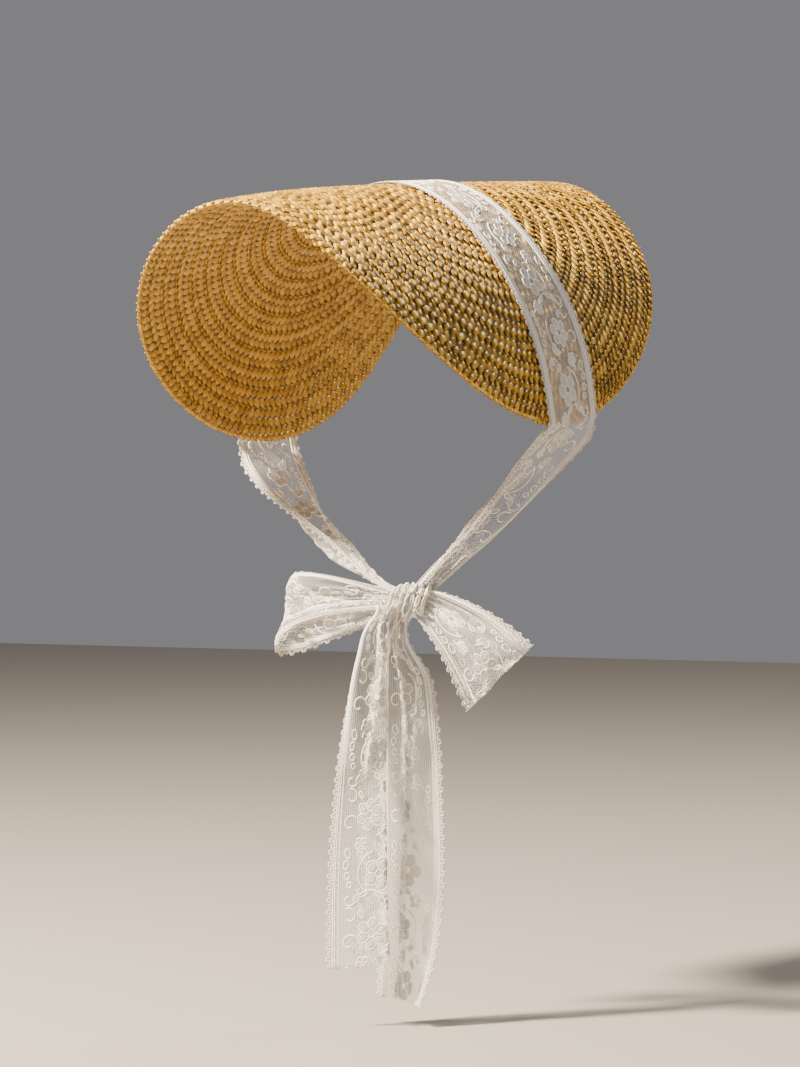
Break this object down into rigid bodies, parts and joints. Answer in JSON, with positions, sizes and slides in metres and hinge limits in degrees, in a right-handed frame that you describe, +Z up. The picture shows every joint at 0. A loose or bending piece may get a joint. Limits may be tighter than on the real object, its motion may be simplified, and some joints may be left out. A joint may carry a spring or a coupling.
{
  "type": "flat straw hat",
  "caption": "Crownless round hat of spiral-sewn straw braid, bent down over both ears by a wide lace ribbon tied in a bow under the jaw, in its worn form.",
  "frame": {"origin": "the underside of the plate at its top middle, where it sits on the head", "axes": "+Z up, the hat's front looks along -Y, +X is the wearer's left"},
  "size_m": [0.2285, 0.3852, 0.5204],
  "materials": {
    "straw_braid": "glossy plaited wheat straw, honey gold",
    "lace": "matte white cotton lace"
  },
  "bodies": {
    "root": {"straw_plate": "straw_braid", "lace_strap": "lace", "bow_knot": "lace", "bow_loop_left": "lace", "bow_loop_right": "lace", "bow_tail_left": "lace", "bow_tail_right": "lace"}
  },
  "joints": []
}
